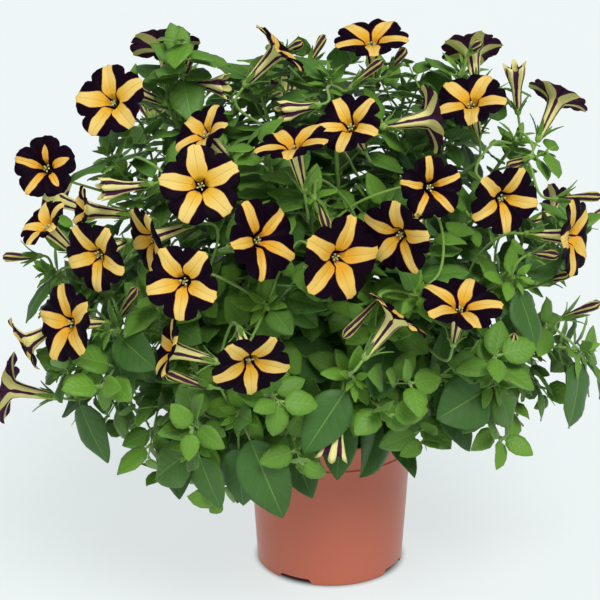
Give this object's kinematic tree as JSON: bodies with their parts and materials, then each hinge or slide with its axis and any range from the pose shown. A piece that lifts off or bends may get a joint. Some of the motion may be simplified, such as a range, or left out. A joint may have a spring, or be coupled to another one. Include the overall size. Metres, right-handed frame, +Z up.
{
  "type": "potted petunia",
  "caption": "Bushy petunia with dark trumpet blooms that carry yellow stars, growing in a round tapered plastic nursery pot that stands on a table or sill.",
  "frame": {"origin": "middle of the pot's foot, in the plane that it stands on", "axes": "+Z up, the side that shows in the picture faces -Y, and +X is to its right, along the plant's widest spread"},
  "size_m": [0.4408, 0.3977, 0.4206],
  "materials": {
    "pot": "satin",
    "soil": "crumbly peat",
    "plant": "soft, finely hairy leaf",
    "bloom": "velvety petal"
  },
  "bodies": {
    "root": {"pot": "pot", "soil": "soil", "leafy_stem_01": "plant", "leafy_stem_02": "plant", "leafy_stem_03": "plant", "leafy_stem_04": "plant", "leafy_stem_05": "plant", "leafy_stem_06": "plant", "leafy_stem_07": "plant", "leafy_stem_08": "plant", "leafy_stem_09": "plant", "leafy_stem_10": "plant", "leafy_stem_11": "plant", "leafy_stem_12": "plant", "leafy_stem_13": "plant", "leafy_stem_14": "plant", "leafy_stem_15": "plant", "leafy_stem_16": "plant", "leafy_stem_17": "plant", "leafy_stem_18": "plant", "leafy_stem_19": "plant", "leafy_stem_20": "plant", "leafy_stem_21": "plant", "bloom_01": "bloom", "bloom_02": "bloom", "bloom_03": "bloom", "bloom_04": "bloom", "bloom_05": "bloom", "bloom_06": "bloom", "bloom_07": "bloom", "bloom_08": "bloom", "bloom_09": "bloom", "bloom_10": "bloom", "bloom_11": "bloom", "bloom_12": "bloom", "bloom_13": "bloom", "bloom_14": "bloom", "bloom_15": "bloom", "bloom_16": "bloom", "bloom_17": "bloom", "bloom_18": "bloom", "bloom_19": "bloom", "bloom_20": "bloom", "bloom_21": "bloom", "bloom_22": "bloom", "bloom_23": "bloom", "bloom_24": "bloom", "bloom_25": "bloom", "bloom_26": "bloom", "bloom_27": "bloom", "bloom_28": "bloom", "bloom_29": "bloom", "bloom_30": "bloom", "bloom_31": "bloom", "bloom_32": "bloom", "bloom_33": "bloom", "bloom_34": "bloom", "bloom_35": "bloom", "bloom_36": "bloom", "bloom_37": "bloom"}
  },
  "joints": []
}
